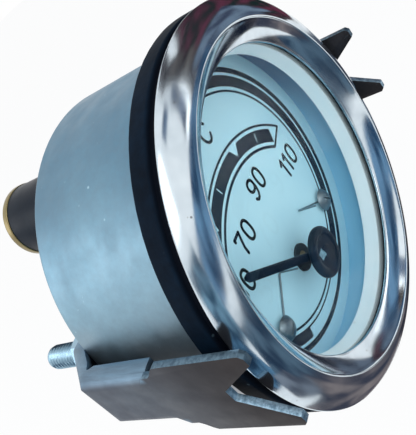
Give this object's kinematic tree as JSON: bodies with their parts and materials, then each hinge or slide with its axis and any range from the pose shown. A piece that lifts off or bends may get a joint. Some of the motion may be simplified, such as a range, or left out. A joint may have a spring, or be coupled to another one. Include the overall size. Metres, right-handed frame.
{
  "type": "temperature gauge",
  "caption": "Round dashboard temperature gauge with a chrome bezel, a swinging pointer, a lamp holder and a bent clamping bracket held by nuts on its rear studs.",
  "frame": {"origin": "on the gauge's axis, in the plane where the gasket's rear face meets the front of the panel", "axes": "+Y along the axis towards the rear and the stud ends, +Z to the top of the dial, +X to the dial's right as its reader sees it"},
  "size_m": [0.063, 0.0467, 0.059],
  "materials": {
    "bezel_chrome": "polished",
    "front_glass": "clear",
    "black_rubber": "matte",
    "can_zinc": "satin",
    "cream_paint": "matte",
    "dial_paint": "matte, printed in black",
    "small_steel": "dull",
    "pointer_black": "satin",
    "magnet_grey": "matte",
    "brass": "satin",
    "black_plastic": "matte",
    "copper_winding": "enamelled wire",
    "plate_steel": "zinc plated",
    "fastener_zinc": "bright zinc",
    "bracket_zinc": "zinc plated, slightly yellowed",
    "brown_fibre": "pressed fibre",
    "bulb_metal": "nickel plated",
    "bulb_clear": "clear",
    "lead_red": "insulated wire"
  },
  "bodies": {
    "gauge": {"bezel": "bezel_chrome", "glass": "front_glass", "glass_seal": "black_rubber", "gasket": "black_rubber", "case": "can_zinc", "spacer_ring": "cream_paint", "dial": "dial_paint", "dial_screws": "small_steel", "low_stop_wire": "small_steel", "high_stop_wire": "small_steel", "front_bearing": "brass", "rear_bearing": "brass", "coil_former_front": "black_plastic", "coil_former_rear": "black_plastic", "sine_coil": "copper_winding", "cosine_coil": "copper_winding", "shield_can": "plate_steel", "base_plate": "plate_steel", "mounting_studs": "fastener_zinc", "terminal_blades": "brass", "terminal_outer_insulators": "brown_fibre", "terminal_inner_insulators": "brown_fibre", "lead_wires": "lead_red"},
    "pointer": {"pointer": "pointer_black", "pointer_hub": "pointer_black", "pointer_shaft": "small_steel", "rotor_magnet": "magnet_grey"},
    "clamp": {"bracket": "bracket_zinc", "stud_washers": "fastener_zinc"},
    "nut_left": {"stud_nut_left": "fastener_zinc"},
    "nut_right": {"stud_nut_right": "fastener_zinc"},
    "lamp": {"lamp_socket": "brass", "lamp_sleeve": "black_plastic", "lamp_insulator": "brown_fibre", "lamp_contact": "brass", "bulb_base": "bulb_metal", "bulb_glass": "bulb_clear"}
  },
  "joints": [
    {"name": "pointer_sweep", "type": "hinge", "parent": "gauge", "child": "pointer", "pos_m": [0, 0, -0.0113], "axis": [0, 1, 0], "range_deg": [0, 101]},
    {"name": "clamp_slide", "type": "slide", "parent": "gauge", "child": "clamp", "axis": [0, 1, 0], "range_m": [0, 0.01]},
    {"name": "nut_left_spin", "type": "hinge", "parent": "clamp", "child": "nut_left", "pos_m": [-0.0216, 0.0276, 0], "axis": [0, 1, 0], "range_deg": [0, 5143]},
    {"name": "nut_right_spin", "type": "hinge", "parent": "clamp", "child": "nut_right", "pos_m": [0.0216, 0.0276, 0], "axis": [0, 1, 0], "range_deg": [0, 5143]},
    {"name": "lamp_pull", "type": "slide", "parent": "gauge", "child": "lamp", "axis": [0, 1, 0], "range_m": [0, 0.014]}
  ],
  "couplings": [
    {"joint": "nut_left_spin", "follows": "clamp_slide", "rad_per_m": 8976},
    {"joint": "nut_right_spin", "follows": "clamp_slide", "rad_per_m": 8976}
  ]
}
